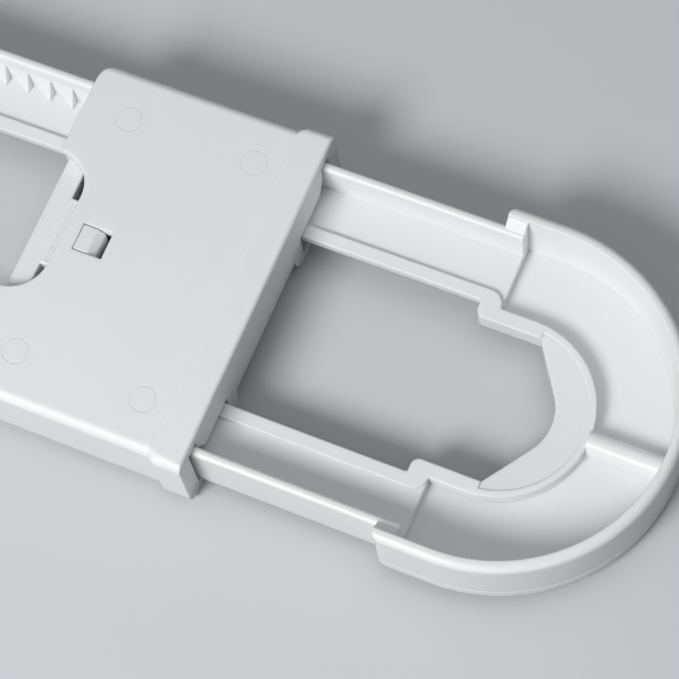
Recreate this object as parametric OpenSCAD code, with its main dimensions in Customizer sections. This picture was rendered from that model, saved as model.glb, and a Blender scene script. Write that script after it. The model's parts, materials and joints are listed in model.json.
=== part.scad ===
/* [Shackle arms] */
// Half width over the feet of the two arms' outer walls
arm_half_w = 32.3; // [30:0.1:36]
// Width of one arm, from its inner edge to its outer face
arm_w = 13.75; // [12:0.05:15]
// Height of the tall outer wall of an arm
arm_h = 13.5; // [12:0.1:15]
// Thickness of the outer wall at its foot
arm_wall = 2.2; // [1.8:0.1:2.6]
// Draft that thins the outer wall towards its top, on each face
wall_draft = 0.15; // [0.1:0.05:0.3]
// Radius of the two long edges on top of the outer wall
arm_round = 0.8; // [0.5:0.1:0.9]
// Height of the channel floor above the underside of the arm
floor_z = 5.6; // [5:0.1:6.2]
// Thickness of the channel floor
floor_t = 1.4; // [1:0.1:1.8]
// Width of the low lip along the inner edge
lip_w = 2.7; // [2:0.1:4]
// Height of the low lip above the channel floor
lip_h = 0.8; // [0.5:0.1:1]
// Length of the arms to the left of the bend's shoulder
arm_len = 143.4; // [140:0.1:150]

/* [Shackle bend] */
// How far the bend stands out past the arms
bend_out = 3.2; // [2.6:0.1:4]
// Height of the outer wall of the bend
bend_h = 15.8; // [15.2:0.1:16]
// Thickness of the bend's outer wall at its top
bend_wall = 2.2; // [2:0.1:2.6]
// How much the inner face of that wall slopes in towards its foot
bend_draft = 0.6; // [0.2:0.05:0.8]
// Radius of the outer top edge of the bend
bend_round = 1.5; // [1:0.1:2]
// Height of the band along the foot of the bend's outer wall
band_h = 2.7; // [2:0.1:3.4]
// How far that band stands out, and the depth and width of the line above it
band_out = 0.1; // [0.1:0.05:0.3]
// Plan radius of the outer shoulders
shoulder_r = 2; // [1:0.1:2.6]
// Length of the straight stretch between the shoulder and the bend's centre
bend_straight = 11.2; // [9:0.1:14]
// How far the bend's inner lip stands in past the arms
lip_in = 3.25; // [2.5:0.05:4]
// How far the bend's channel stands in past the arms' inner edges
channel_in = 0.35; // [0.2:0.05:0.6]
// Width of the ridge between the channel and the sunken ring
ridge_w = 1.3; // [1:0.1:2]
// Depth of the ring at the opening, below the lip's top
ring_drop = 0.65; // [0.4:0.05:1]
// Depth of the ring at the ridge
ring_step = 0.15; // [0.1:0.05:0.3]
// Length of the straight side of the opening past the shoulder
open_straight = 13.5; // [12:0.1:14]
// Radius of the round end of the opening, about the bend's centre
open_r = 10.45; // [9:0.05:12]
// Height of the pocket floor above the underside of the bend
pocket_z = 3.2; // [2.8:0.1:3.6]
// Thickness of the pocket floor
pocket_t = 1.4; // [1.2:0.1:1.8]
// Length of the raised entry between the shoulder and the pocket
entry_len = 4.1; // [3.5:0.1:5]
// Width of the cross rib in the middle of the bend
rib_w = 4.4; // [4:0.1:6]
// How far the cross rib lies off the middle
rib_y = -0.4; // [-1:0.1:1]
// Height of the cross rib above the underside of the bend
rib_z = 7.2; // [6.8:0.1:8.5]

/* [Teeth and pawls] */
// Distance from one tooth to the next
pitch = 5; // [4.8:0.1:5.2]
// How far a tooth stands out from the wall at the channel floor
tooth_d = 2.2; // [1.8:0.1:2.5]
// Height of a tooth on the wall
tooth_h = 5.2; // [4.4:0.1:5.6]
// Number of teeth on each arm
tooth_count = 18; // [14:1:18]
// Pawl thickness, as a share of the height that the pawls and the stem have
pawl_share = 0.545; // [0.5:0.005:0.56]
// Number of teeth on each pawl
pawl_teeth = 2; // [1:1:2]
// Distance that a pawl draws in when the button is pressed
pawl_travel = 2; // [1.8:0.05:2.2]
// Radius of the pin on top of a pawl
pawl_pin_r = 1.1; // [0.9:0.05:1.3]

/* [Housing] */
// Length of the housing along the arms
case_len = 48.9; // [46:0.1:52]
// Distance from an arm's outer face to the housing's side
case_side = 3.5; // [3.3:0.1:4.4]
// Thickness of the back cover's plate
plate_t = 2; // [1.8:0.1:2.6]
// Thickness of the side walls
side_wall = 2.3; // [2:0.1:2.4]
// Thickness of the end walls
end_wall = 2; // [1.6:0.1:2.4]
// Thickness of the front shell's floor
shell_t = 2.4; // [2:0.1:2.6]
// Thickness of the front shell's raised middle
middle_t = 1.6; // [1.4:0.1:2.2]
// Radius of the long edges on the back face
back_round = 2; // [1.4:0.1:3]
// Radius of the long edges on the front face
front_round = 3.2; // [2.5:0.1:3.6]
// Radius of the two left corners, seen from the back
corner_r = 4; // [3:0.1:5]
// Height of the seam between the front shell and the back cover in the middle
seam_z = 7.4; // [6.8:0.1:7.8]
// Height of that seam along the sides
side_seam_z = 2.7; // [2.5:0.1:3.2]
// How far the front shell's side stands in at the seam
seam_in = 0.4; // [0.2:0.05:0.5]
// Distance from the arms' inner edges to the raised middle of the front face
middle_in = 4.25; // [4:0.05:5]
// Radius of the ridges' inner corners on the front face
ridge_round = 4.4; // [3.6:0.1:4.8]
// Length of the rim at the bend end
rim_len = 5.5; // [5:0.1:8]
// How far the rim stands out at each side
rim_out = 1.1; // [0.8:0.1:1.4]
// How far the rim stands up from the back face
rim_rise = 0.35; // [0.2:0.05:0.4]
// Length of the ramp from the body up to the rim
rim_ramp = 1.5; // [1:0.1:2]
// Radius of the rim's end edge on the back face
rim_round = 0.8; // [0.5:0.1:1.2]

/* [Release button] */
// Distance from the arms' inner edges to the sides of the notch over the button's head
notch_in = 3.45; // [3.2:0.05:4]
// How far the head reaches under the cover at the sides of the notch
head_lap = 0.3; // [0.2:0.05:0.4]
// Length of the button's head along the arms
head_len = 4.2; // [3.8:0.1:5]
// Stem half width, as a share of the distance from the middle to an arm
stem_share = 0.394; // [0.37:0.005:0.41]
// Distance that the button travels
button_travel = 1.6; // [1.4:0.05:1.7]
// Wall thickness of the hollow head
head_wall = 1.7; // [1.4:0.1:2]
// Window half width, as a share of the distance from the middle to an arm
window_share = 0.156; // [0.14:0.005:0.17]
// Length of the window in the back cover
window_len = 6.3; // [6:0.1:7]

/* [Springs] */
// Wire diameter of a pawl spring
wire_d = 0.35; // [0.3:0.05:0.4]
// Mean radius of a pawl spring
coil_r = 1.35; // [1.2:0.05:1.4]
// Turns of a pawl spring
coil_turns = 5; // [4:1:6]

/* [Clearances] */
// Gap above and below the arms in the housing
arm_gap = 0.5; // [0.4:0.1:0.6]
// Gap between a guide rail and the inner edge of an arm
rail_gap = 0.4; // [0.3:0.05:0.5]
// Gap between parts that slide on each other
slide_gap = 0.3; // [0.25:0.05:0.35]
// Gap round the snap hook in its window
hook_gap = 0.15; // [0.1:0.05:0.2]
// Gap round a joining peg in its socket
peg_gap = 0.02; // [0.01:0.01:0.05]

/* [Hidden] */
$fn = 64;
white = [0.90, 0.91, 0.92];
pawl_white = [0.82, 0.84, 0.86];
steel = [0.62, 0.64, 0.66];
// One overrun serves every cut that passes through a face
over = 1;
// One small radius serves the fillet at the inner shoulder and the ends that meet a wall
small_r = 0.5;
// One thin slab serves the ends of the shapes that a hull joins
skin = 0.1;

// Heights, measured from the surface that the housing lies on
arm_z = shell_t + arm_gap;
arm_top_z = arm_z + arm_h;
cover_z = arm_top_z + arm_gap;
case_h = cover_z + plate_t;
rim_h = case_h + rim_rise;
channel_z = arm_z + floor_z;
lip_top_z = channel_z + lip_h;
rail_top_z = lip_top_z + arm_gap / 5;
works_h = cover_z - rail_top_z - 3 * slide_gap;
pawl_t = works_h * pawl_share;
stem_t = works_h - pawl_t;
pawl_z = rail_top_z + slide_gap;
pawl_top_z = pawl_z + pawl_t;
stem_z = pawl_top_z + slide_gap;
stem_top_z = stem_z + stem_t;

// The arm's section, and the same section's places in the bend
arm_in_y = arm_half_w - arm_w;
wall_in_y = arm_half_w - arm_wall;
lip_y = arm_in_y + lip_w;
lip_z = floor_z + lip_h;
arm_end_r = arm_w / 4;
bend_r = arm_half_w + bend_out;
bend_side_r = bend_r - band_out;
bend_in_r = bend_side_r - bend_wall;
bend_channel_r = arm_in_y - channel_in;
open_half_w = arm_in_y - lip_in;
lip_turn_r = lip_y - bend_channel_r;

// Places along the arms: the rim's end face is the zero of the layout
shoulder_x = 37.5;
inner_shoulder_r = lip_in / 2;
arm_end_x = shoulder_x - arm_len;
bend_x = shoulder_x + bend_straight;
tip_x = bend_x + bend_r;
pocket_x = shoulder_x + entry_len;
lip_end_x = pocket_x - lip_turn_r;
open_corner_x = shoulder_x + open_straight;
open_turn_x = open_corner_x - bend_x;
// Where the slanted side from the opening's corner touches its round end
touch_a = atan2(open_half_w, open_turn_x) - acos(open_r / norm([open_turn_x, open_half_w]));
touch_x = bend_x + open_r * cos(touch_a);
touch_y = open_r * sin(touch_a);
ring_r = bend_channel_r - ridge_w;
mid_x = (tip_x + arm_end_x) / 2;

// Teeth: one steep face stands at each multiple of the pitch from the last one
last_tooth_x = -14.5;
first_tooth_x = last_tooth_x - tooth_count * pitch;

// Pawls
pawl_gap = 0.15;
pawl_tip_gap = 0.35;
pawl_tip_y = wall_in_y - pawl_tip_gap;
pawl_tooth_d = 2.05;
pawl_x = last_tooth_x - 3 * pitch + pawl_gap;
pawl_len = pawl_teeth * pitch - 2 * pawl_gap;
pawl_mid_x = pawl_x + pawl_len / 2;
pawl_in_share = 0.404;
pawl_pin_share = 0.539;
pawl_in_y = arm_in_y * pawl_in_share;
pawl_pin_y = arm_in_y * pawl_pin_share;
pawl_pin_h = stem_top_z - pawl_top_z - slide_gap;
spring_z = pawl_z + pawl_t / 2;
spigot_r = coil_r - wire_d;
spigot_h = 0.8;
post_half_y = 1;
post_half_x = 2;
spring_end_gap = 0.05;

// Housing
case_half_w = arm_half_w + case_side;
case_in_y = case_half_w - side_wall;
rim_half_w = case_half_w + rim_out;
mouth_in_y = arm_in_y - rail_gap * 2;
mouth_out_y = arm_half_w + arm_gap * 1.5;
mouth_z = lip_top_z + arm_gap;
middle_z = seam_z - middle_t;
middle_half_w = arm_in_y - middle_in;
ridge_in_y = middle_half_w + shell_t;
rail_out_y = arm_in_y - rail_gap;
rail_t = 1.6;
inner_r = 1.2;
guide_t = 1.2;
guide_top_z = stem_z - slide_gap;
cover_rib_t = 1.4;

// Pegs that join the cover to the shell, and studs that guide the arms
peg_x = [-37.5, -8];
peg_share = 0.625;
peg_y = arm_in_y * peg_share;
peg_r = 1.5;
boss_r = 2.9;
boss_top_z = stem_z - slide_gap;
peg_drop = boss_top_z - seam_z - slide_gap;
stud_x = [-39, -12.2];
stud_in = 4.1;
stud_y = wall_in_y - stud_in;
stud_r = 1;
// A shallow ring shows on the back face over each stud
mark_r = 2.7;
mark_w = 0.3;
mark_depth = 0.04;

// Release button
head_x = -47.5;
notch_half_w = arm_in_y - notch_in;
head_half_w = notch_half_w + head_lap;
head_gap = 0.25;
head_end_x = head_x + head_len;
stem_half_w = arm_in_y * stem_share;
window_half_w = arm_in_y * window_share;
// The window and the hook stand a little to one side of the middle
window_y = -0.3;
head_bottom_z = seam_z + slide_gap;
stem_end_x = pawl_mid_x + pawl_len / 2 + guide_t;
notch_room = 0.7;
notch_x = head_end_x + button_travel + notch_room;
notch_r = 7.7;
// A fine crease runs across the stem's top just behind the head
crease_x = head_end_x + notch_room;
crease_w = 0.6;
crease_depth = 0.12;
crease_share = 0.9;
window_x = -38;
hook_flat = 3;
hook_stop_gap = 0.05;
hook_end_x = window_x + window_len - button_travel - hook_gap;
hook_drop = 0.1;
hook_ramp = 1.3;
hook_top_z = case_h - hook_drop;
hook_toe_z = hook_top_z - hook_ramp;
slit_w = 0.8;
slit_len = 9;

// Springs
coil_rings = 8;
coil_sides = 6;
coil_len = pawl_in_y - post_half_y - 2 * spring_end_gap - wire_d;

// Outlines

module rounded_rect(x0, x1, y0, y1, r) {
    translate([x0 + r, y0]) square([x1 - x0 - 2 * r, y1 - y0]);
    translate([x0, y0 + r]) square([x1 - x0, y1 - y0 - 2 * r]);
    for (x = [x0 + r, x1 - r], y = [y0 + r, y1 - r]) translate([x, y]) circle(r);
}

// What a radius takes off a corner whose free sides point right and up (1) or left and down (-1)
module corner_cut(corner, r, right, up) {
    translate(corner - r * [right, up]) difference() {
        translate((r + over) / 2 * [right, up]) square(r + over, center = true);
        circle(r);
    }
}

// Turns a section drawn as (y, height) into a bar along X
module along_x(x0, x1) {
    translate([x0, 0, 0]) rotate([90, 0, 90]) linear_extrude(x1 - x0) children();
}

module at_height(z0, z1) {
    translate([0, 0, z0]) linear_extrude(z1 - z0) children();
}

module both_sides() {
    children();
    mirror([0, 1, 0]) children();
}

// Outline of a U of the given radius, from x0 round the bend
module u_outline(r, x0) {
    translate([x0, -r]) square([bend_x - x0, 2 * r]);
    intersection() {
        translate([bend_x, 0]) circle(r, $fn = 128);
        translate([bend_x - over, -r]) square([r + 2 * over, 2 * r]);
    }
}

// Outline of the opening inside the bend
module opening_outline(x0) {
    translate([x0, -open_half_w]) square([open_corner_x - x0, 2 * open_half_w]);
    polygon([
        [open_corner_x - over, -open_half_w], [open_corner_x, -open_half_w],
        [touch_x, -touch_y], [touch_x, touch_y],
        [open_corner_x, open_half_w], [open_corner_x - over, open_half_w]
    ]);
    translate([bend_x, 0]) circle(open_r, $fn = 128);
}

// The two arms

module wall_section() {
    difference() {
        polygon([
            [wall_in_y, 0], [arm_half_w, 0],
            [arm_half_w - wall_draft, arm_h], [wall_in_y + wall_draft, arm_h]
        ]);
        corner_cut([arm_half_w - wall_draft, arm_h], arm_round, 1, 1);
        corner_cut([wall_in_y + wall_draft, arm_h], arm_round, -1, 1);
    }
}

module floor_section() {
    polygon([
        [arm_in_y, floor_z - floor_t], [wall_in_y + arm_wall / 2, floor_z - floor_t],
        [wall_in_y + arm_wall / 2, floor_z], [lip_y, floor_z],
        [lip_y, lip_z], [arm_in_y, lip_z]
    ]);
}

module arm_teeth() {
    intersection() {
        at_height(floor_z - floor_t / 2, floor_z + tooth_h)
            for (k = [0 : tooth_count - 1])
                polygon([
                    [first_tooth_x + k * pitch, wall_in_y + arm_wall / 2],
                    [first_tooth_x + k * pitch, wall_in_y],
                    [first_tooth_x + (k + 1) * pitch, wall_in_y - tooth_d],
                    [first_tooth_x + (k + 1) * pitch, wall_in_y + arm_wall / 2]
                ]);
        along_x(first_tooth_x, last_tooth_x)
            polygon([
                [wall_in_y - tooth_d, floor_z - floor_t / 2],
                [wall_in_y + arm_wall / 2, floor_z - floor_t / 2],
                [wall_in_y + arm_wall / 2, floor_z + tooth_h],
                [wall_in_y, floor_z + tooth_h], [wall_in_y - tooth_d, floor_z]
            ]);
    }
}

module arm() {
    intersection() {
        union() {
            along_x(arm_end_x, pocket_x) wall_section();
            along_x(arm_end_x, lip_end_x) floor_section();
        }
        at_height(-over, arm_h + over)
            rounded_rect(arm_end_x, pocket_x + 2 * arm_end_r, arm_in_y, arm_half_w, arm_end_r);
    }
    arm_teeth();
}

// The bend

module bend_wall_section() {
    difference() {
        polygon([
            [bend_in_r - bend_draft, 0], [bend_r, 0], [bend_r, band_h],
            [bend_side_r - band_out, band_h], [bend_side_r - band_out, band_h + 2 * band_out],
            [bend_side_r, band_h + 2 * band_out], [bend_side_r, bend_h], [bend_in_r, bend_h]
        ]);
        corner_cut([bend_side_r, bend_h], bend_round, 1, 1);
    }
}

module bend_wall() {
    intersection() {
        translate([bend_x, 0, 0]) rotate_extrude($fn = 128) bend_wall_section();
        translate([bend_x, -bend_r - over, -over])
            cube([bend_r + over, 2 * (bend_r + over), bend_h + 2 * over]);
    }
    both_sides() difference() {
        along_x(shoulder_x, bend_x) bend_wall_section();
        at_height(-over, bend_h + over) corner_cut([shoulder_x, bend_side_r], shoulder_r, -1, 1);
        at_height(-over, band_h + over)
            translate([shoulder_x - over, bend_side_r]) square([shoulder_r / 2 + over, 2 * band_out]);
    }
}

// Raised entry beside each arm's end: the arm's wall runs on inside the bend's wall
module entry() {
    along_x(shoulder_x, pocket_x)
        polygon([
            [arm_half_w - arm_wall / 2, 0], [bend_in_r + over / 2, 0],
            [bend_in_r + over / 2, bend_h - small_r], [bend_in_r, bend_h - small_r],
            [arm_half_w - arm_wall / 2, arm_h]
        ]);
    at_height(pocket_z - pocket_t, floor_z)
        translate([shoulder_x, bend_channel_r])
            square([pocket_x - shoulder_x, wall_in_y + arm_wall / 2 - bend_channel_r]);
    at_height(pocket_z - pocket_t, lip_z) {
        translate([shoulder_x, bend_channel_r - over / 4])
            square([lip_end_x - shoulder_x, lip_turn_r + over / 4]);
        // The lip's channel edge turns in to the narrower lip of the bend
        intersection() {
            translate([lip_end_x, bend_channel_r]) circle(lip_turn_r);
            translate([lip_end_x - over, bend_channel_r - over / 4])
                square(lip_turn_r + 2 * over);
        }
    }
    // Small fillet where the arm's inner edge meets the inner shoulder
    at_height(floor_z - floor_t, lip_z)
        difference() {
            translate([shoulder_x - small_r, arm_in_y - small_r]) square(2 * small_r);
            translate([shoulder_x - small_r, arm_in_y - small_r]) circle(small_r);
        }
}

// The sunken ring beside the opening slopes up to the ridge
module ring_cutter() {
    intersection() {
        translate([bend_x, 0, lip_z - ring_drop]) {
            cylinder(r1 = open_r, r2 = ring_r, h = ring_drop - ring_step, $fn = 128);
            translate([0, 0, ring_drop - ring_step]) cylinder(r = ring_r, h = rib_z, $fn = 128);
        }
        translate([open_corner_x, -bend_r, 0]) cube([bend_r, 2 * bend_r, bend_h]);
    }
}

// The rib's top is rounded along its length
module cross_rib() {
    along_x(bend_x + bend_channel_r - small_r, bend_x + bend_in_r) {
        translate([rib_y - rib_w / 2, pocket_z - pocket_t])
            square([rib_w, rib_z - rib_w / 2 - pocket_z + pocket_t]);
        translate([rib_y, rib_z - rib_w / 2]) circle(rib_w / 2);
    }
}

module bend() {
    difference() {
        union() {
            bend_wall();
            at_height(pocket_z - pocket_t, pocket_z)
                difference() {
                    u_outline(bend_in_r, shoulder_x);
                    opening_outline(shoulder_x - over);
                }
            at_height(pocket_z - pocket_t, lip_z)
                difference() {
                    u_outline(bend_channel_r, shoulder_x);
                    opening_outline(shoulder_x - over);
                }
            both_sides() entry();
            cross_rib();
        }
        ring_cutter();
        both_sides() at_height(-over, bend_h)
            corner_cut([shoulder_x, open_half_w], inner_shoulder_r, -1, -1);
    }
}

module shackle() {
    color(white) translate([0, 0, arm_z]) {
        both_sides() arm();
        bend();
    }
}

// The housing

module case_section(half_w, top_z) {
    difference() {
        translate([-half_w, 0]) square([2 * half_w, top_z]);
        for (side = [-1, 1]) {
            corner_cut([side * half_w, top_z], back_round, side, 1);
            corner_cut([side * half_w, 0], front_round, side, -1);
        }
    }
}

// Outside of the closed housing, with the rim and the ramp that leads up to it
module case_outside(inset) {
    intersection() {
        along_x(-case_len + inset, -rim_len) case_section(case_half_w - inset, case_h);
        at_height(-over, case_h + over)
            rounded_rect(-case_len + inset, corner_r * 2, -case_half_w + inset,
                         case_half_w - inset, corner_r);
    }
    // The ramp climbs the back face at once and the sides more slowly
    hull() {
        along_x(-rim_len - rim_ramp, -rim_len - rim_ramp + skin) case_section(case_half_w, case_h);
        along_x(-rim_len - rim_ramp + rim_rise, -rim_len - rim_ramp + rim_rise + skin)
            case_section(case_half_w + rim_out / 3, rim_h);
        along_x(-rim_len, -rim_len + skin) case_section(rim_half_w, rim_h);
    }
    difference() {
        along_x(-rim_len, 0) case_section(rim_half_w, rim_h);
        translate([0, rim_half_w + over, 0]) rotate([90, 0, 0])
            linear_extrude(2 * (rim_half_w + over)) corner_cut([0, rim_h], rim_round, 1, 1);
    }
}

// Mouth for an arm in an end wall: it leaves room for the wall, the lip and the teeth
module mouth_section() {
    tooth_y = wall_in_y - tooth_d - slide_gap;
    wall_y = wall_in_y - slide_gap;
    translate([mouth_in_y, shell_t]) square([mouth_out_y - mouth_in_y, mouth_z - shell_t]);
    translate([wall_y, shell_t]) square([mouth_out_y - wall_y, cover_z - shell_t]);
    polygon([
        [tooth_y, mouth_z - over], [tooth_y, mouth_z + slide_gap],
        [wall_y, channel_z + tooth_h + slide_gap], [wall_y + over, mouth_z - over]
    ]);
}

// Inside of the case: the channels for the arms, the middle and the mouths
module case_inside() {
    along_x(-case_len + end_wall, -end_wall) {
        for (side = [-1, 1])
            rounded_rect(side * (case_in_y + ridge_in_y) / 2 - (case_in_y - ridge_in_y) / 2,
                         side * (case_in_y + ridge_in_y) / 2 + (case_in_y - ridge_in_y) / 2,
                         shell_t, cover_z, inner_r);
        translate([-ridge_in_y - inner_r, seam_z])
            square([2 * ridge_in_y + 2 * inner_r, cover_z - seam_z]);
    }
    both_sides() along_x(-case_len - over, over) mouth_section();
}

// Raised middle of the front face, with the rounded inner corners of both ridges
module front_recess() {
    along_x(-case_len - over, over) {
        translate([-middle_half_w, -over]) square([2 * middle_half_w, middle_z + over]);
        for (side = [-1, 1]) corner_cut([side * middle_half_w, 0], ridge_round, -side, -1);
    }
}

// The seam steps down from the middle to the sides inside the arms' channels
module below_seam() {
    translate([-case_len - over, -arm_half_w, -over])
        cube([case_len + 2 * over, 2 * arm_half_w, seam_z + over]);
    translate([-case_len - over, -rim_half_w - over, -over])
        cube([case_len + 2 * over, 2 * (rim_half_w + over), side_seam_z + over]);
}

// Guide rails beside the arms' inner edges
module rails() {
    both_sides() at_height(shell_t - over / 2, rail_top_z)
        translate([-case_len + end_wall, rail_out_y - rail_t])
            square([case_len - 2 * end_wall, rail_t]);
}

// Sockets, pawl guides and the spring post that stand on the raised middle
module shell_fittings() {
    for (x = peg_x, y = [-peg_y, peg_y]) translate([x, y, seam_z - middle_t / 2])
        cylinder(r = boss_r, h = boss_top_z - seam_z + middle_t / 2);
    for (x = [pawl_x - slide_gap - guide_t, pawl_x + pawl_len + slide_gap])
        both_sides() translate([x, pawl_in_y, seam_z - middle_t / 2])
            cube([guide_t, rail_out_y - rail_t - pawl_in_y + rail_t / 4,
                  guide_top_z - seam_z + middle_t / 2]);
    translate([pawl_mid_x - post_half_x, -post_half_y, seam_z - middle_t / 2])
        cube([2 * post_half_x, 2 * post_half_y, guide_top_z - seam_z + middle_t / 2]);
    translate([pawl_mid_x, post_half_y + spigot_h, spring_z])
        rotate([90, 0, 0]) cylinder(r = spigot_r, h = 2 * (post_half_y + spigot_h));
}

module front_shell() {
    color(white) difference() {
        union() {
            difference() {
                intersection() {
                    case_outside(seam_in);
                    below_seam();
                }
                case_inside();
                front_recess();
            }
            rails();
            shell_fittings();
        }
        for (x = peg_x, y = [-peg_y, peg_y])
            translate([x, y, seam_z]) cylinder(r = peg_r + peg_gap, h = boss_top_z);
    }
}

// Outline of the notch that bares the button's head
module notch_outline() {
    translate([-case_len - over, -notch_half_w + notch_r])
        square([notch_x + case_len + over, 2 * (notch_half_w - notch_r)]);
    translate([-case_len - over, -notch_half_w])
        square([notch_x - notch_r + case_len + over, 2 * notch_half_w]);
    for (side = [-1, 1]) translate([notch_x - notch_r, side * (notch_half_w - notch_r)])
        circle(notch_r);
}

module cover_fittings() {
    for (x = peg_x, y = [-peg_y, peg_y]) translate([x, y, cover_z - peg_drop - stem_t])
        cylinder(r = peg_r, h = peg_drop + stem_t + plate_t / 2);
    for (x = stud_x, y = [-stud_y, stud_y]) translate([x, y, channel_z + arm_gap])
        cylinder(r = stud_r, h = cover_z - channel_z - arm_gap + plate_t / 2);
    // Ribs beside the stem and above the arms' inner edges
    both_sides() {
        translate([notch_x + slide_gap, stem_half_w + slide_gap, stem_z])
            cube([window_len, cover_rib_t, cover_z - stem_z + plate_t / 2]);
        translate([-case_len + end_wall / 2, rail_out_y - cover_rib_t, stem_z])
            cube([case_len - end_wall, cover_rib_t, cover_z - stem_z + plate_t / 2]);
    }
}

module back_cover() {
    color(white) difference() {
        union() {
            difference() {
                case_outside(0);
                below_seam();
                case_inside();
                // The head of the button passes through the left end wall
                translate([-case_len - over, -head_half_w - head_gap, seam_z - over])
                    cube([end_wall + 2 * over, 2 * (head_half_w + head_gap),
                          cover_z - seam_z + over]);
            }
            cover_fittings();
        }
        at_height(seam_z, case_h + over) notch_outline();
        translate([window_x, window_y - window_half_w, cover_z - over])
            cube([window_len, 2 * window_half_w, plate_t + 2 * over]);
        at_height(case_h - mark_depth, case_h + over)
            for (x = stud_x, y = [-stud_y, stud_y]) translate([x, y]) difference() {
                circle(mark_r);
                circle(mark_r - mark_w);
            }
    }
}

// The release button

module hook() {
    translate([0, window_y + window_half_w - hook_gap, 0]) rotate([90, 0, 0])
        linear_extrude(2 * (window_half_w - hook_gap))
            polygon([
                [window_x + hook_stop_gap, stem_top_z - stem_t / 2],
                [window_x + hook_stop_gap, hook_top_z],
                [window_x + hook_flat, hook_top_z],
                [hook_end_x, hook_toe_z], [hook_end_x, stem_top_z - stem_t / 2]
            ]);
}

// The slots that draw the pawls in: the outer side of each slot leads its pin
module cam_slot() {
    lead = pawl_pin_r + slide_gap / 2;
    polygon([
        [pawl_mid_x + lead, pawl_pin_y + lead], [pawl_mid_x + lead, pawl_pin_y - lead],
        [pawl_mid_x + lead - button_travel, stem_half_w / 3],
        [pawl_mid_x - lead - button_travel, stem_half_w / 3],
        [pawl_mid_x - lead - button_travel, pawl_pin_y + lead - pawl_travel],
        [pawl_mid_x - lead, pawl_pin_y + lead]
    ]);
}

module tongue_slits() {
    tongue_y = window_half_w - hook_gap;
    for (side = [-1, 1])
        translate([hook_end_x + slit_w - slit_len,
                   window_y + side * (tongue_y + slit_w / 2) - slit_w / 2, stem_z - over])
            cube([slit_len, slit_w, stem_t + 2 * over]);
    translate([hook_end_x, window_y - tongue_y - slit_w, stem_z - over])
        cube([slit_w, 2 * (tongue_y + slit_w), stem_t + 2 * over]);
}

module release_button() {
    cheek_half_w = pawl_pin_y + pawl_pin_r + guide_t * 1.5;
    color(white) difference() {
        union() {
            difference() {
                translate([head_x, -head_half_w, head_bottom_z])
                    cube([head_len, 2 * head_half_w, stem_top_z - head_bottom_z]);
                translate([head_x + head_wall, -head_half_w + head_wall, head_bottom_z - over])
                    cube([head_len - 2 * head_wall, 2 * (head_half_w - head_wall),
                          stem_z - head_bottom_z + over]);
            }
            translate([head_end_x - head_wall, -stem_half_w, stem_z])
                cube([stem_end_x - head_end_x + head_wall, 2 * stem_half_w, stem_t]);
            translate([pawl_mid_x - pawl_len / 2, -cheek_half_w, stem_z])
                cube([stem_end_x - pawl_mid_x + pawl_len / 2, 2 * cheek_half_w, stem_t]);
            hook();
        }
        at_height(stem_z - over, stem_top_z + over) both_sides() cam_slot();
        tongue_slits();
        translate([crease_x, -stem_half_w * crease_share, stem_top_z - crease_depth])
            cube([crease_w, 2 * stem_half_w * crease_share, crease_depth + over]);
    }
}

// The pawls

module pawl_outline() {
    polygon(concat(
        [[pawl_x, pawl_in_y]],
        [for (k = [0 : pawl_teeth - 1]) each [
            [pawl_x + k * pitch, pawl_tip_y],
            [pawl_x + (k + 1) * pitch - 2 * pawl_gap, pawl_tip_y - pawl_tooth_d],
            [pawl_x + min((k + 1) * pitch, pawl_len), pawl_tip_y - pawl_tooth_d]]],
        [[pawl_x + pawl_len, pawl_in_y]]
    ));
}

module pawl() {
    at_height(pawl_z, pawl_top_z) pawl_outline();
    translate([pawl_mid_x, pawl_pin_y, pawl_top_z - pawl_t / 2])
        cylinder(r = pawl_pin_r, h = pawl_pin_h + pawl_t / 2);
    translate([pawl_mid_x, pawl_in_y + spigot_h, spring_z])
        rotate([90, 0, 0]) cylinder(r = spigot_r, h = 2 * spigot_h);
}

module left_pawl() { color(pawl_white) pawl(); }
module right_pawl() { color(pawl_white) mirror([0, 1, 0]) pawl(); }

// The springs

// Centre line of the wire, from 0 at one end to 1 at the other
function coil_point(t) =
    let (a = 360 * coil_turns * t)
    [coil_r * cos(a), coil_len * t, coil_r * sin(a)];

function coil_ring(t) =
    let (a = 360 * coil_turns * t, c = coil_point(t),
         out = [cos(a), 0, sin(a)], up = [0, 1, 0])
    [for (s = [0 : coil_sides - 1])
        c + wire_d / 2 * (cos(360 * s / coil_sides) * out + sin(360 * s / coil_sides) * up)];

module coil() {
    steps = coil_turns * coil_rings;
    points = [for (k = [0 : steps]) each coil_ring(k / steps)];
    sides = [for (k = [0 : steps - 1], s = [0 : coil_sides - 1])
        let (a = k * coil_sides + s, b = k * coil_sides + (s + 1) % coil_sides)
        each [[a, b, b + coil_sides], [a, b + coil_sides, a + coil_sides]]];
    first = [for (s = [1 : coil_sides - 2]) [0, s + 1, s]];
    base = steps * coil_sides;
    last = [for (s = [1 : coil_sides - 2]) [base, base + s, base + s + 1]];
    echo(least_gap_between_turns = coil_len / coil_turns - wire_d);
    polyhedron(points, concat(sides, first, last));
}

module placed_coil() {
    translate([pawl_mid_x, post_half_y + spring_end_gap + wire_d / 2, spring_z]) coil();
}

module left_spring() { color(steel) placed_coil(); }
module right_spring() { color(steel) translate([2 * pawl_mid_x, 0, 0]) rotate([0, 0, 180]) placed_coil(); }

module seated() { translate([-mid_x, 0, 0]) children(); }

seated() shackle();
seated() front_shell();
seated() back_cover();
seated() release_button();
seated() left_pawl();
seated() right_pawl();
seated() left_spring();
seated() right_spring();
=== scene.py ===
import json
import math

import bmesh
import bpy
from mathutils import Matrix, Vector


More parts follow.
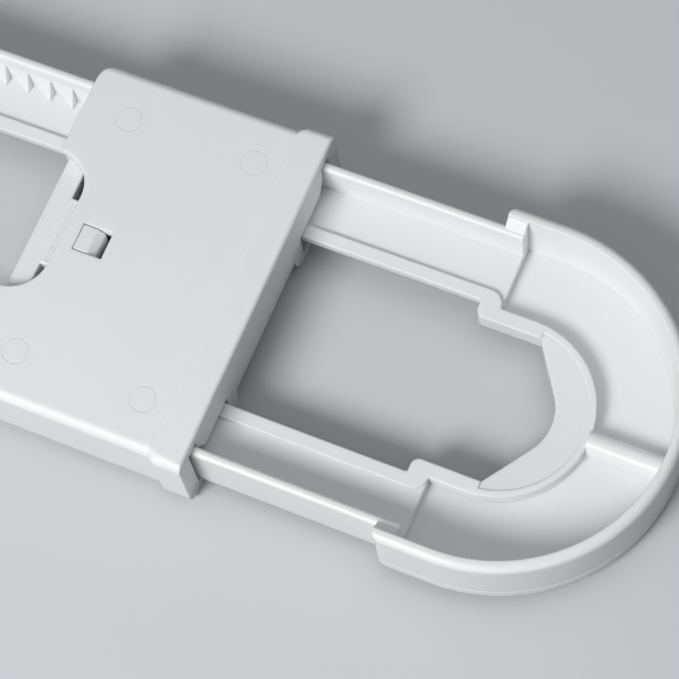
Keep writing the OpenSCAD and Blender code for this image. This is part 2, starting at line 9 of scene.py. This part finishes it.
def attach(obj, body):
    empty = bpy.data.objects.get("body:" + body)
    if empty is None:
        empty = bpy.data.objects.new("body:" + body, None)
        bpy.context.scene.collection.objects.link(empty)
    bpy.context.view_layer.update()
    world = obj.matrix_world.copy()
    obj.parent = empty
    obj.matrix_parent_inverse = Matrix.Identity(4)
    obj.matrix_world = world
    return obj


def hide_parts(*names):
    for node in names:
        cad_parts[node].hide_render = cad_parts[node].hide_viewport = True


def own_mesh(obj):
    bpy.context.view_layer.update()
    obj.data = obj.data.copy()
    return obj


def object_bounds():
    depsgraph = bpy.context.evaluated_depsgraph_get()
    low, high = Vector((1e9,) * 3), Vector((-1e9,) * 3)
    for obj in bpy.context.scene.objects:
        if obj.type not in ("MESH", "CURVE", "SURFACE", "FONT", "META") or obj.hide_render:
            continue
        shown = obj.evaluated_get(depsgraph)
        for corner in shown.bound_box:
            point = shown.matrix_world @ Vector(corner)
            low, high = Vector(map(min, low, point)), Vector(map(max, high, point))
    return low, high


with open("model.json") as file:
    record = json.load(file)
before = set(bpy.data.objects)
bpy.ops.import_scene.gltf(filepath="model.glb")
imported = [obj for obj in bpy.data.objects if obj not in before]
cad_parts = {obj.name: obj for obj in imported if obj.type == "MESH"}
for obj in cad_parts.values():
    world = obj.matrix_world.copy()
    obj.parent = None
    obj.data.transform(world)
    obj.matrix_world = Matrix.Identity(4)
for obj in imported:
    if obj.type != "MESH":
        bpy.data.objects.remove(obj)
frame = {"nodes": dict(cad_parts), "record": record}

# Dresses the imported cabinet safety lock: eased edges, plastic and steel finishes, and a studio

cad_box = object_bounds()

MM = 0.001

behaviour = frame["record"]["behaviour"]
BODY_OF = {node: body for body, nodes in behaviour["bodies"].items() for node in nodes}
SLOT_OF = {row["node"]: row["material_slot"] for row in frame["record"]["subparts"]}


def new_object(name, data):
    """An object that shows the data in the scene."""
    made = bpy.data.objects.new(name, data)
    bpy.context.collection.objects.link(made)
    return made


# Camera

# The photograph's frame is square, so one value serves its width and height
PHOTO_PX = 679
SENSOR_MM = 36.0

# Fitted to the photograph's straight edges and arcs. The azimuth is clockwise from +Y, and the
# elevation is how far the camera looks down
FOCAL_PX = 2507.5
CAMERA_MM = (130.24, -144.79, 454.02)
VIEW_AZIMUTH = math.radians(-35.486)
VIEW_ELEVATION = math.radians(68.034)
VIEW_ROLL = math.radians(-13.392)
CLIP_START = 10 * MM


def make_camera():
    """The camera that took the photograph."""
    data = bpy.data.cameras.new("camera")
    data.sensor_width = SENSOR_MM
    data.lens = FOCAL_PX / PHOTO_PX * SENSOR_MM
    data.clip_start = CLIP_START
    level = math.cos(VIEW_ELEVATION)
    ahead = Vector((math.sin(VIEW_AZIMUTH) * level,
                    math.cos(VIEW_AZIMUTH) * level,
                    -math.sin(VIEW_ELEVATION)))
    side = Vector((math.cos(VIEW_AZIMUTH), -math.sin(VIEW_AZIMUTH), 0))
    upward = side.cross(ahead)
    right = math.cos(VIEW_ROLL) * side + math.sin(VIEW_ROLL) * upward
    up = math.cos(VIEW_ROLL) * upward - math.sin(VIEW_ROLL) * side
    turn = Matrix((right, up, -ahead)).transposed().to_4x4()
    camera = new_object("camera", data)
    camera.matrix_world = Matrix.Translation(Vector(CAMERA_MM) * MM) @ turn
    bpy.context.scene.camera = camera


# Finishes

WHITE = (0.82, 0.825, 0.83)
PALE_GREY = (0.72, 0.73, 0.74)

# Each plastic by its material slot. Within the edge radius the light falls as on a rounded edge
PLASTICS = {
    "shackle_plastic": dict(colour=WHITE, roughness=0.34, grain=0.25, edge_radius=0.5 * MM),
    "housing_plastic": dict(colour=WHITE, roughness=0.5, grain=0.35, edge_radius=0.35 * MM),
    "button_plastic": dict(colour=WHITE, roughness=0.38, grain=0.3, edge_radius=0.35 * MM),
    "pawl_plastic": dict(colour=PALE_GREY, roughness=0.5, grain=0.4, edge_radius=0.2 * MM),
}
# How many directions the rounding of the light looks in
EDGE_SAMPLES = 8

# What the plastics share: a soft gloss, and a little light that passes under the skin
PLASTIC_SKIN = {
    "IOR": 1.49,
    "Specular IOR Level": 0.42,
    "Subsurface Weight": 0.6,
    "Subsurface Radius": (1.0, 0.95, 0.9),
    "Subsurface Scale": 1.1 * MM,
}

# Noises, with scales in waves per metre. Clouds vary the plastic's colour, smears its roughness,
# and waves and pores its relief. Wear varies the steel
CLOUDS = {"Scale": 45.0, "Detail": 3.0, "Roughness": 0.55}
SMEARS = {"Scale": 220.0, "Detail": 4.0, "Roughness": 0.6}
WAVES = {"Scale": 90.0, "Detail": 1.0, "Roughness": 0.4}
PORES = {"Scale": 2600.0, "Detail": 2.0, "Roughness": 0.5}
WEAR = {"Scale": 1800.0, "Detail": 3.0}

CLOUD_DARKER = 0.02
CLOUD_LIGHTER = CLOUD_DARKER / 2
SMEAR_GLOSSIER = 0.05
SMEAR_DULLER = 0.07
WAVE_STRENGTH = 0.18
WAVE_HEIGHT = 0.12 * MM
PORE_HEIGHT = 0.012 * MM

STEEL_ROUGHNESS = (0.22, 0.42)
STEEL_BRIGHTNESS = (0.5, 0.66)


class Surface:
    """A new material: a Principled shader with these values, and the nodes that drive it."""

    def __init__(self, name, **values):
        self.material = bpy.data.materials.new(name)
        self.material.use_nodes = True
        self.tree = self.material.node_tree
        self.tree.nodes.clear()
        output = self.make("ShaderNodeOutputMaterial")
        self.shader = self.make("ShaderNodeBsdfPrincipled", **values)
        self.link(self.shader.outputs["BSDF"], output.inputs["Surface"])

    def make(self, kind, **values):
        """A node whose sockets hold these values."""
        node = self.tree.nodes.new(kind)
        for socket, value in values.items():
            node.inputs[socket].default_value = value
        return node

    def link(self, source, target):
        """The source's output sets the target's input."""
        self.tree.links.new(source, target)

    def drive(self, socket, source):
        """The source sets this socket of the shader."""
        self.link(source, self.shader.inputs[socket])

    def noise(self, settings):
        """Noise from 0 to 1, in the piece's own coordinates."""
        where = self.make("ShaderNodeTexCoord")
        texture = self.make("ShaderNodeTexNoise", **settings)
        self.link(where.outputs["Object"], texture.inputs["Vector"])
        return texture.outputs["Fac"]

    def spread(self, value, low, high):
        """A value from 0 to 1, spread from low to high."""
        node = self.make("ShaderNodeMapRange", **{"To Min": low, "To Max": high})
        self.link(value, node.inputs["Value"])
        return node.outputs["Result"]

    def bump(self, height, strength, distance, normal):
        """The normal, tilted as a relief of this height would tilt it."""
        node = self.make("ShaderNodeBump", Strength=strength, Distance=distance)
        self.link(height, node.inputs["Height"])
        self.link(normal, node.inputs["Normal"])
        return node.outputs["Normal"]


def moulded_plastic(name, colour, roughness, grain, edge_radius):
    """Moulded plastic: fine satin grain, soft unevenness and edges that look rounded."""
    surface = Surface(name, **PLASTIC_SKIN)

    clouded = surface.make("ShaderNodeVectorMath")
    clouded.operation = "SCALE"
    clouded.inputs[0].default_value = colour
    tint = surface.spread(surface.noise(CLOUDS), 1 - CLOUD_DARKER, 1 + CLOUD_LIGHTER)
    surface.link(tint, clouded.inputs["Scale"])
    surface.drive("Base Color", clouded.outputs["Vector"])

    smears = surface.noise(SMEARS)
    dull = surface.spread(smears, roughness - SMEAR_GLOSSIER, roughness + SMEAR_DULLER)
    surface.drive("Roughness", dull)

    rounded = surface.make("ShaderNodeBevel", Radius=edge_radius)
    rounded.samples = EDGE_SAMPLES
    normal = rounded.outputs["Normal"]
    normal = surface.bump(surface.noise(WAVES), WAVE_STRENGTH, WAVE_HEIGHT, normal)
    normal = surface.bump(surface.noise(PORES), grain, PORE_HEIGHT, normal)
    surface.drive("Normal", normal)
    return surface.material


def drawn_steel(name):
    """Spring wire: bright, with an uneven shine."""
    surface = Surface(name, Metallic=1.0)
    wear = surface.noise(WEAR)
    surface.drive("Roughness", surface.spread(wear, *STEEL_ROUGHNESS))
    surface.drive("Base Color", surface.spread(wear, *STEEL_BRIGHTNESS))
    return surface.material


FINISHES = {slot: moulded_plastic(slot, **look) for slot, look in PLASTICS.items()}
FINISHES["spring_steel"] = drawn_steel("spring_steel")


# Pieces

# The moulded radius of each node's sharp edges
RADIUS_MM = {
    "shackle": 0.45,
    "front_shell": 0.4,
    "back_cover": 0.4,
    "release_button": 0.35,
    "left_pawl": 0.15,
    "right_pawl": 0.15,
}
RADIUS_SEGMENTS = 3

# Corners nearer than this are one, and faces that turn less than this are one flat face
WELD = 0.002 * MM
FLAT = math.radians(0.6)

# Edges that turn less than CREASED are parts of a curve, and those that turn more than SHARP get
# the moulded radius. Those between are creases where both faces are broad
CREASED = math.radians(7.5)
SHARP = math.radians(28)
BROAD_AREA = (2 * MM) ** 2

# A radius takes at most this share of the room beside its edge, where there is any
ROOM_SHARE = 0.42
LEAST_ROOM = 0.001 * MM


def room_beside(loop):
    """How far a loop's face reaches from the middle of its edge, square to it."""
    start, end = loop.vert.co, loop.link_loop_next.vert.co
    middle = (start + end) / 2
    along = (end - start).normalized()
    inward = loop.face.normal.cross(along)
    reach = math.inf
    for other in loop.face.edges:
        if other is loop.edge:
            continue
        a, b = (vert.co - middle for vert in other.verts)
        a_along, b_along = a.dot(along), b.dot(along)
        # Only an edge that crosses the square line from the middle ends the face there
        if a_along * b_along > 0 or a_along == b_along:
            continue
        depth = a.dot(inward) + (b - a).dot(inward) * a_along / (a_along - b_along)
        if depth > LEAST_ROOM:
            reach = min(reach, depth)
    return reach


def mark_creases(mesh):
    """The faces are smooth, with a crease wherever two broad ones meet at a small angle."""
    for face in mesh.faces:
        face.smooth = True
    for edge in mesh.edges:
        if len(edge.link_faces) == 2 and CREASED < edge.calc_face_angle(0) < SHARP:
            edge.smooth = min(face.calc_area() for face in edge.link_faces) < BROAD_AREA


def mark_radii(mesh, radius):
    """Each sharp edge gets the moulded radius, or less where its faces are narrow."""
    shares = mesh.edges.layers.float.new("bevel_weight_edge")
    for edge in mesh.edges:
        if len(edge.link_faces) == 2 and edge.calc_face_angle(0) > SHARP:
            room = min(room_beside(loop) for loop in edge.link_loops)
            edge[shares] = min(1, ROOM_SHARE * room / radius)


def joined_mesh(node, name, radius):
    """The node's own faces, welded, with the flat ones made whole again and the edges marked."""
    source = frame["nodes"][node]
    mesh = bmesh.new()
    mesh.from_mesh(source.data)
    bmesh.ops.transform(mesh, matrix=source.matrix_world, verts=mesh.verts)
    bmesh.ops.remove_doubles(mesh, verts=mesh.verts, dist=WELD)
    bmesh.ops.dissolve_limit(mesh, angle_limit=FLAT, verts=mesh.verts, edges=mesh.edges)
    mark_creases(mesh)
    mark_radii(mesh, radius)
    data = bpy.data.meshes.new(name)
    mesh.to_mesh(data)
    mesh.free()
    return data


def stand_for(node, piece):
    """The piece moves with the node's body and shows in its place."""
    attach(piece, BODY_OF[node])
    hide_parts(node)


def moulded(node, radius):
    """A node's shape with the small moulded radius that its sharp edges have."""
    name = node + "_moulded"
    piece = new_object(name, joined_mesh(node, name, radius))
    piece.data.materials.append(FINISHES[SLOT_OF[node]])
    bevel = piece.modifiers.new("edges", "BEVEL")
    bevel.width = radius
    bevel.segments = RADIUS_SEGMENTS
    bevel.limit_method = "WEIGHT"
    bevel.use_clamp_overlap = True
    bevel.harden_normals = True
    shading = piece.modifiers.new("normals", "WEIGHTED_NORMAL")
    shading.keep_sharp = True
    stand_for(node, piece)


def coil(side):
    """The node's spring, smooth-shaded in its finish, moving with the node's body."""
    node = side + "_spring"
    source = frame["nodes"][node]
    data = source.data.copy()
    data.transform(source.matrix_world)
    data.materials.clear()
    data.materials.append(FINISHES[SLOT_OF[node]])
    for face in data.polygons:
        face.use_smooth = True
        face.material_index = 0
    piece = new_object(side + "_coil", data)
    stand_for(node, piece)
    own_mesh(piece)


# Studio, in metres

FLOOR_HALF = 1.6
FLOOR_GAP = 0.02 * MM
FLOOR_ROUGHNESS = 0.9

# The floor is pale to the camera and in reflections, and darker where it throws light back
FLOOR_SEEN = (0.62, 0.63, 0.645, 1)
FLOOR_UNSEEN = (0.16, 0.16, 0.165, 1)

SKY = (0.93, 0.96, 1.0, 1)
SKY_STRENGTH = 0.26

# Lamps: degrees from +X and above the floor, width in metres, and watts
LAMPS = {
    "key": dict(azimuth=-105, elevation=43, size=0.36, power=6.2),
    "low": dict(azimuth=-72, elevation=18, size=0.7, power=0.5),
    "top": dict(azimuth=60, elevation=70, size=0.7, power=0.9),
}
LAMP_DISTANCE = 0.9


def floor_paint():
    """The floor's colour, by what looks at it."""
    surface = Surface("floor", Roughness=FLOOR_ROUGHNESS)
    rays = surface.make("ShaderNodeLightPath")
    seen = surface.make("ShaderNodeMath")
    seen.operation = "MAXIMUM"
    surface.link(rays.outputs["Is Camera Ray"], seen.inputs[0])
    surface.link(rays.outputs["Is Glossy Ray"], seen.inputs[1])
    colour = surface.make("ShaderNodeMix")
    colour.data_type = "RGBA"
    colour.inputs["A"].default_value = FLOOR_UNSEEN
    colour.inputs["B"].default_value = FLOOR_SEEN
    surface.link(seen.outputs["Value"], colour.inputs["Factor"])
    surface.drive("Base Color", colour.outputs["Result"])
    return surface.material


def make_floor():
    """A plain floor just under the object."""
    corners = [(-FLOOR_HALF, -FLOOR_HALF, 0), (FLOOR_HALF, -FLOOR_HALF, 0),
               (FLOOR_HALF, FLOOR_HALF, 0), (-FLOOR_HALF, FLOOR_HALF, 0)]
    data = bpy.data.meshes.new("floor")
    data.from_pydata(corners, [], [range(len(corners))])
    data.materials.append(floor_paint())
    floor = new_object("floor", data)
    floor.location.z = cad_box[0].z - FLOOR_GAP


def make_sky():
    """Even light from all round."""
    world = bpy.data.worlds.new("studio")
    bpy.context.scene.world = world
    world.use_nodes = True
    background = world.node_tree.nodes["Background"]
    background.inputs["Color"].default_value = SKY
    background.inputs["Strength"].default_value = SKY_STRENGTH


def lamp(name, azimuth, elevation, size, power):
    """A round lamp that faces the middle of the object."""
    data = bpy.data.lights.new(name, "AREA")
    data.shape = "DISK"
    data.size = size
    data.energy = power
    a, e = math.radians(azimuth), math.radians(elevation)
    toward = Vector((math.cos(a) * math.cos(e), math.sin(a) * math.cos(e), math.sin(e)))
    light = new_object(name, data)
    light.location = toward * LAMP_DISTANCE
    light.rotation_euler = toward.to_track_quat("Z", "Y").to_euler()


make_camera()
for node, radius_mm in RADIUS_MM.items():
    moulded(node, radius_mm * MM)
for side in ("left", "right"):
    coil(side)
make_floor()
make_sky()
for name, settings in LAMPS.items():
    lamp(name, **settings)

bpy.context.scene.view_settings.view_transform = "Standard"
